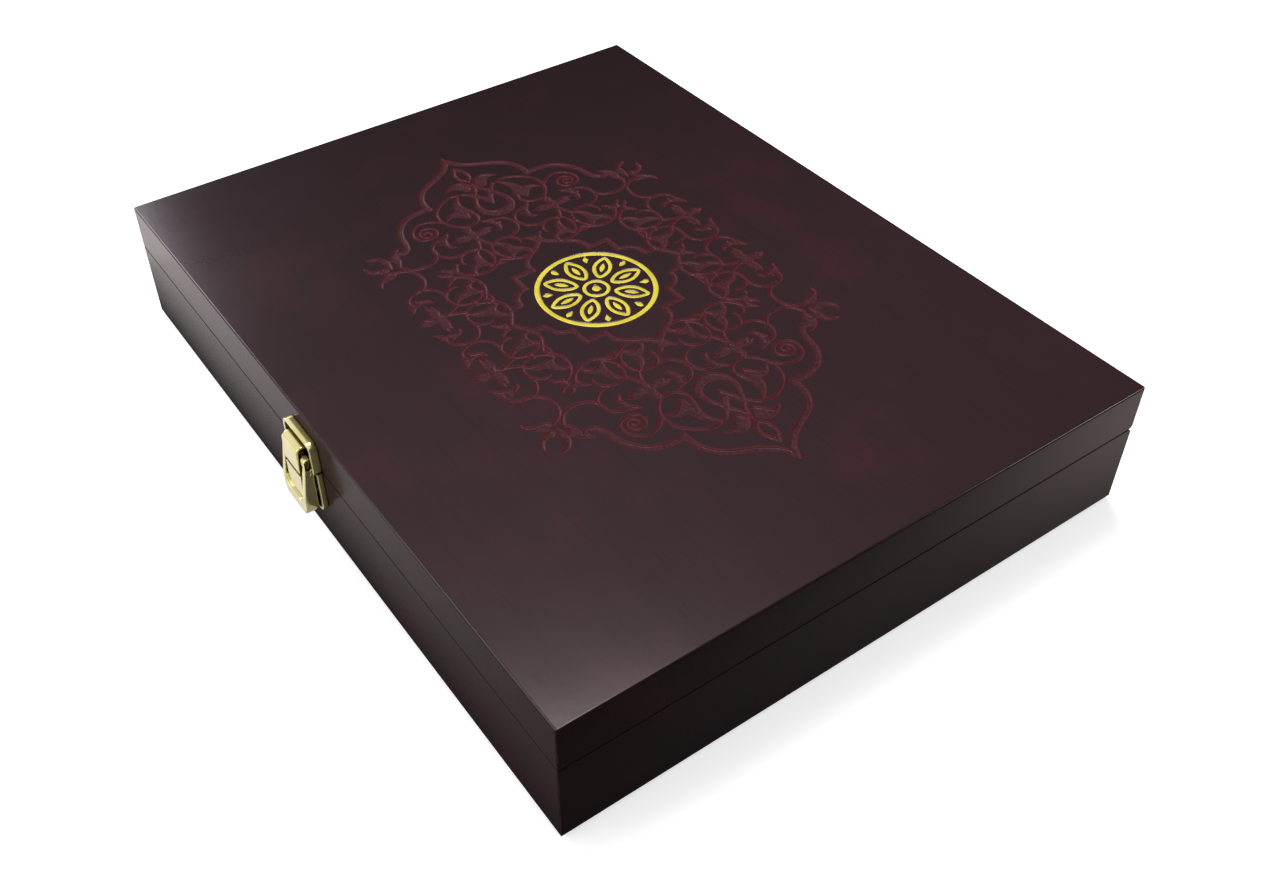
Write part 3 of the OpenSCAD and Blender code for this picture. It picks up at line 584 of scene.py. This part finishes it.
def carved_lid():
    """Four sheets, one for each quarter of the lid's top. Each is a grid over (x, y) whose height falls by the cut's depth
    as the signed distance to the ornament's edge runs from 0 inwards; past the ornament the grid widens to the lid's edge."""
    xs = np.linspace(0, END_X, int(END_X / STEP) + 1)
    ys = np.linspace(0, END_Y, int(END_Y / STEP) + 1)
    d, gold = field(xs, ys), gilt_field(xs, ys)
    cut = smooth(-d / CUT_SLOPE)
    # edge: mask of the red line along each cut's edge, partly a painted highlight
    edge = np.exp(-((d - CUT_EDGE) / CUT_EDGE_W) ** 2)
    z = -CUT_DEPTH * cut - GROOVE_DEPTH * smooth(-gold / GROOVE_SLOPE)
    grow_x = np.concatenate([np.zeros(len(xs)), WIDEN])
    grow_y = np.concatenate([np.zeros(len(ys)), WIDEN])
    beyond = ((0, len(WIDEN)), (0, len(WIDEN)))
    z, cut, edge = (np.pad(a, beyond) for a in (z, cut, edge))
    X, Y = np.meshgrid(np.append(xs, np.full(len(WIDEN), END_X)), np.append(ys, np.full(len(WIDEN), END_Y)))
    rows, cols = X.shape
    for sx, sy, name in QUARTERS:
        U, V = place(sx * X, sy * Y)
        U = U + grow_x[None, :] * (sx * (HALF_W - EDGE_R) - U)
        V = V + grow_y[:, None] * (sy * (HALF_D - EDGE_R) - V)
        ob = piece("carved_lid_" + name, np.stack([U, V, TOP + z], -1).reshape(-1, 3),
                   quads(rows, cols, flip=sx * sy < 0), CARVED, "lid", ["lid_top_board"])
        for n, a in (("cut", cut), ("edge", edge)):
            ob.data.attributes.new(n, "FLOAT", "POINT").data.foreach_set("value", a.astype(np.float32).ravel())


def ring_points(half_x, half_y, r, turns=8):
    """Rounded rectangle as corner middles and directions, with a point 1.5 mm along each straight; returns a function of
    its offset."""
    a = np.radians(np.concatenate([[q, *np.linspace(q, q + 90, turns), q + 90] for q in (0, 90, 180, 270)]))
    corner = np.repeat([(1, 1), (-1, 1), (-1, -1), (1, -1)], turns + 2, axis=0)
    along = np.tile([-1.5] + [0.0] * turns + [1.5], 4)[:, None] * np.stack([-np.sin(a), np.cos(a)], 1)

    def at(n):
        rho = max(r + n, 0.0)
        return corner * [half_x + n - rho, half_y + n - rho] + rho * np.stack([np.cos(a), np.sin(a)], 1) + along
    return at


def lid_rim():
    """Side of the lid's top board: a section, round at its upper edge, carried round the board's outline."""
    at = ring_points(HALF_W, HALF_D, CORNER_R)
    foot = board_lo[2]
    a = np.radians(np.linspace(90, 0, 7))
    section = [(EDGE_R * (math.cos(k) - 1), TOP - EDGE_R + EDGE_R * math.sin(k)) for k in a]
    section += [(0.0, TOP - EDGE_R - 0.3), (0.0, foot + 0.05), (0.0, foot), (-RAIL_T, foot)]
    rings = [np.column_stack([at(n), np.full(len(at(n)), z)]) for n, z in section]
    cols = len(rings[0])
    faces = quads(len(rings), cols, wrap=True, flip=True)
    faces.append([(len(rings) - 1) * cols + k for k in range(cols)][::-1])
    piece("lid_board_side", np.vstack(rings), faces, LACQUER, "lid", ["lid_top_board"])


# Section of a gilt line: shares of its half width, and heights in mm above the lid's surface
GILT_ACROSS = np.array([-1.0, -0.8, -0.4, 0.0, 0.4, 0.8, 1.0, 0.0])
GILT_HEIGHT = np.array([-0.16, -0.07, -0.035, -0.03, -0.035, -0.07, -0.16, -0.42])
GILT_GAP = 0.03


def gilt_rosette():
    """Each gilt line is a low domed section, as wide as the line, carried along its path just below the lid's surface."""
    verts, faces = [], []
    for path, closed in gilt_paths():
        if not closed:
            path = np.vstack([path[0], path, path[-1]])
            path[[0, -1], 2] = 0.0
        side = (np.roll(path, -1, 0) - np.roll(path, 1, 0))[:, :2] if closed else np.gradient(path[:, :2], axis=0)
        side = np.stack([-side[:, 1], side[:, 0]], 1) / np.maximum(np.linalg.norm(side, axis=1), 1e-9)[:, None]
        half = (path[:, 2] / 2 - GILT_GAP).clip(0)
        p = path[:, None, :2] + side[:, None, :] * (GILT_ACROSS[None, :, None] * half[:, None, None])
        U, V = place(p[..., 0], p[..., 1])
        v = np.stack([U, V, TOP + np.broadcast_to(GILT_HEIGHT, U.shape)], -1)
        if closed:
            v = np.concatenate([v, v[:1]])
        start = sum(len(k) for k in verts)
        verts.append(v.reshape(-1, 3))
        faces += (np.array(quads(len(v), len(GILT_ACROSS), wrap=True)) + start).tolist()
    piece("gilt_rosette", np.vstack(verts), faces, GILT, "lid")


# Section of the velvet bed from its outer foot to its inner foot: shares of the way across, and drops in mm below its top;
# the first and last places lie on the bed's foot
BED_ACROSS = np.array([0, 0, 0.015, 0.05, 0.12, 0.25, 0.4, 0.55, 0.7, 0.82, 0.90, 0.955, 0.985, 1, 1, 1])
BED_DROP = np.array([4, 2.4, 1.3, 0.6, 0.2, 0.05, 0.05, 0.2, 0.55, 1.1, 1.9, 3.2, 5, 15])


def velvet_bed():
    """Velvet over the bed round the recess: a section across the bed, crowned and round at both edges, carried round the
    recess; its top puckers a little along both edges."""
    lo, hi = (np.array(c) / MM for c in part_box("bed_left"))
    front = np.array(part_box("bed_front")[1]) / MM
    outer = ring_points(-lo[0], hi[1], 1.0, turns=10)
    inner = ring_points(-hi[0], -front[1], 2.5, turns=10)
    fine = 60

    def dense(p):
        q = np.roll(p, -1, 0)
        u = np.linspace(0, 1, fine, endpoint=False)
        long = np.linalg.norm(q - p, axis=1) > 5
        return np.vstack([p[k] + u[:, None] * (q[k] - p[k]) if long[k] else p[k][None] for k in range(len(p))])
    a, b = dense(outer(0)), dense(inner(0))
    t = np.linspace(0, 1, len(a), endpoint=False)
    heights = np.concatenate([[lo[2]], hi[2] - BED_DROP, [lo[2]]])
    pucker = 0.12 * np.sin(2 * np.pi * 90 * t) + 0.10 * np.sin(2 * np.pi * 37 * t + 1.0)
    weight = np.exp(-((BED_ACROSS - 0.06) / 0.06) ** 2) + np.exp(-((BED_ACROSS - 0.93) / 0.05) ** 2)
    rings = [np.column_stack([a + k * (b - a), np.full(len(a), h) - np.abs(pucker) * w])
             for k, h, w in zip(BED_ACROSS, heights, weight)]
    ob = piece("velvet_bed", np.vstack(rings), quads(len(rings), len(a), wrap=True), VELVET, "base",
               ["bed_front", "bed_back", "bed_left", "bed_right"])


def pad(name, node, body, up, crown):
    """Thin crowned pad in the box of a CAD node: a grid over (x, y) that falls to the pad's foot along a round edge, with a
    few shallow hollows where the filling settles. up is 1 for a pad that faces up and -1 for one that faces down."""
    lo, hi = (np.array(c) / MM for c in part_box(node))
    n = 150
    edge_r, headroom = 3.5, 0.3
    u = np.sin(np.linspace(-0.5, 0.5, n) * np.pi)
    U, V = np.meshgrid(u, u)
    half = (hi - lo)[:2] / 2
    mid = (hi + lo)[:2] / 2
    from_edge = np.minimum((1 - np.abs(U)) * half[0], (1 - np.abs(V)) * half[1])
    rise = np.sqrt(np.clip(1 - (1 - np.clip(from_edge / edge_r, 0, 1)) ** 2, 0, 1))
    swell = (1 - U ** 2) * (1 - V ** 2)
    settle = 0.18 * np.sin(5.1 * U + 0.4) * np.sin(4.3 * V + 0.8) + 0.10 * np.sin(11 * U + 2) * np.sin(9 * V)
    z = rise * ((hi - lo)[2] - crown - headroom + crown * swell + settle * swell)
    foot = lo[2] if up > 0 else hi[2]
    top = np.stack([mid[0] + half[0] * U, mid[1] + half[1] * V, foot + up * np.maximum(z, 0.0)], -1).reshape(-1, 3)
    rim = np.concatenate([np.arange(n), np.arange(1, n) * n + n - 1, (n - 1) * n + np.arange(n - 2, -1, -1),
                          np.arange(n - 2, 0, -1) * n])
    faces = quads(n, n, flip=up < 0)
    faces.append((rim[::-1] if up > 0 else rim).tolist())
    ob = piece(name, top, faces, VELVET, body, [node])


carved_lid()
lid_rim()
gilt_rosette()
velvet_bed()
pad("velvet_floor_pad", "floor_pad", "base", 1, 0.8)
pad("velvet_lid_pad", "lid_pad", "lid", -1, 0.6)

# CAD pieces: a material for each slot, and rounded edges on the latch (cell of the remesh in mm, passes of smoothing)
SLOTS = {"lacquered_wood": LACQUER, "gold_metal": GOLD, "steel": STEEL, "velvet": VELVET}
ROUNDED = {"latch_keeper_plate": (0.13, 5), "latch_base_plate": (0.13, 5), "latch_lever": (0.15, 34),
           "latch_hook": (0.14, 16)}
slot_of = {row["node"]: row["material_slot"] for row in frame["record"]["subparts"]}
for node, ob in frame["nodes"].items():
    ob.data.materials.clear()
    ob.data.materials.append(SLOTS[slot_of[node]])
    if node in ROUNDED:
        cell, passes = ROUNDED[node]
        remesh = ob.modifiers.new("Remesh", "REMESH")
        remesh.mode = "VOXEL"
        remesh.voxel_size = cell * MM * 1
        remesh.use_smooth_shade = True
        relax = ob.modifiers.new("Smooth", "SMOOTH")
        relax.factor = 0.5
        relax.iterations = passes


# Floor, light and background

def floor_sheen(t, at):
    """Brightness of the floor in the lacquer: it falls along the box towards the near corner and close to the box, and
    grows past the box's left and back ends."""
    x, y, _ = t.axes(at)
    past_end = t.times(t.math("MAXIMUM", t.less(x, 0.165), 0.0), 2.3)
    run = t.span(t.less(t.less(y, x), past_end), -0.50, 0.10)
    front = t.times(t.span(y, -0.1325, -0.150, start=0.02), t.span(x, -0.205, -0.245, start=1.0, end=1.65))
    right = t.times(t.span(x, 0.17, 0.199, start=0.25, end=0.85), t.span(y, 0.06, 0.17, start=1.0, end=1.6))
    beside = t.math("GREATER_THAN", x, 0.17)
    near = t.math("ADD", t.times(front, t.less(1.0, beside)), t.times(right, beside))
    tint = t.mix(beside, (1.0, 0.90, 0.90, 1), (1.0, 0.81, 0.82, 1))
    return t.mix(t.times(t.math("POWER", run, 2.3), near), (0.01, 0.01, 0.01, 1), tint)


def pale_floor(half=4.0, below=-0.0004):
    """Pale plain floor, which the camera sees lighter with the distance from the box, and the lacquer by its sheen."""
    me = bpy.data.meshes.new("floor")
    me.from_pydata([(sx * half, sy * half, below) for sx, sy in ((-1, -1), (1, -1), (1, 1), (-1, 1))], [], [(0, 1, 2, 3)])
    floor_ob = bpy.data.objects.new("floor", me)
    bpy.context.scene.collection.objects.link(floor_ob)
    m, t, s, at = material("Pale floor")
    ray = t.add("LightPath").outputs
    soft_ray = t.soft_ray(ray)
    away = t.add("VectorMath", {0: at}, operation="LENGTH").outputs["Value"]
    lift = t.span(away, 0.5, 1.4, start=0.60)
    lit = t.mix(ray["Is Diffuse Ray"], (0.9, 0.9, 0.9, 1), (0.55, 0.55, 0.55, 1))
    t.fill(s, {"Base Color": t.mix(soft_ray, lit, (0, 0, 0, 1)), "Roughness": 0.9, "Specular IOR Level": 0.0,
               "Emission Color": t.mix(soft_ray, (1, 1, 1, 1), floor_sheen(t, at)),
               "Emission Strength": t.math("ADD", t.times(ray["Is Camera Ray"], lift), soft_ray)})
    me.materials.append(m)


def stand(ob, right, up, back, at):
    """Puts a light or camera at a place in metres, with its own axes along three directions."""
    ob.matrix_world = Matrix([[right[k], up[k], back[k], at[k]] for k in range(3)] + [[0, 0, 0, 1]])
    bpy.context.scene.collection.objects.link(ob)


def softbox(name, at, aim, size_x, size_y, power, tint=(1, 1, 1)):
    """Rectangular area light at a place in metres, aimed at another."""
    light = bpy.data.lights.new(name, "AREA")
    light.shape = "RECTANGLE"
    light.size, light.size_y = size_x, size_y
    light.energy = power
    light.color = tint
    back = np.array(at, float) - np.array(aim, float)
    back /= np.linalg.norm(back)
    right = np.cross((0, 0, 1.0), back)
    right /= np.linalg.norm(right)
    stand(bpy.data.objects.new(name, light), right, np.cross(back, right), back, at)


def studio():
    """White room: white to the camera, even to plain light, nearly dark in the lacquer and bright in the metal."""
    world = bpy.data.worlds.new("Studio")
    bpy.context.scene.world = world
    world.use_nodes = True
    world.node_tree.nodes.clear()
    t = Tree(world.node_tree)
    seen = t.add("LightPath").outputs
    shade = t.add("Background", {"Color": (1, 1, 1, 1), "Strength": 0.22})
    for kind, strength in (("Is Glossy Ray", 0.02), ("Is Singular Ray", 0.95), ("Is Camera Ray", 1.0)):
        own = t.add("Background", {"Color": (1, 1, 1, 1), "Strength": strength})
        shade = t.add("MixShader", {0: seen[kind], 1: shade.outputs[0], 2: own.outputs[0]})
    t.add("OutputWorld", {"Surface": shade.outputs[0]})


# Camera of the photo: direction and roll in degrees, place in metres, focal length and middle in the photo's pixels
AZ, EL, ROLL = (math.radians(d) for d in (55.6549, 41.5621, -0.7797))
EYE = (0.371308, -0.254794, 0.394664)
FOCAL, MID_X, MID_Y = 1366.84, 594.68, 405.39
PHOTO_W, PHOTO_H = 1280, 880
SENSOR_W = 36.0


def photo_camera():
    ahead = -np.array([math.cos(EL) * math.sin(AZ), -math.cos(EL) * math.cos(AZ), math.sin(EL)])
    right = np.cross(ahead, (0, 0, 1.0))
    right /= np.linalg.norm(right)
    up = np.cross(right, ahead)
    right, up = math.cos(ROLL) * right + math.sin(ROLL) * up, -math.sin(ROLL) * right + math.cos(ROLL) * up
    lens = bpy.data.cameras.new("Camera")
    lens.sensor_width = SENSOR_W
    lens.lens = FOCAL * SENSOR_W / PHOTO_W
    lens.shift_x = (PHOTO_W / 2 - MID_X) / PHOTO_W
    lens.shift_y = (MID_Y - PHOTO_H / 2) / PHOTO_W
    lens.clip_start = 0.01
    camera = bpy.data.objects.new("Camera", lens)
    stand(camera, right, up, -ahead, EYE)
    bpy.context.scene.camera = camera


pale_floor()
softbox("Left softbox", (-1.20, -0.26, 0.64), (0, -0.1, 0.03), 0.72, 0.6, 7.4, (1.0, 0.93, 1.0))
softbox("Top softbox", (-0.38, 0.22, 1.62), (0, 0, 0), 0.62, 0.62, 18.5, (1.0, 0.92, 0.92))
softbox("Edge softbox", (0.75, 0.95, 0.75), (0.17, 0.08, 0.06), 0.36, 0.3, 2.6)
softbox("Front softbox", (-0.30, -1.35, 0.75), (0, -0.13, 0.03), 1.6, 1.1, 12.0)
studio()
photo_camera()
bpy.context.scene.view_settings.view_transform = "Standard"
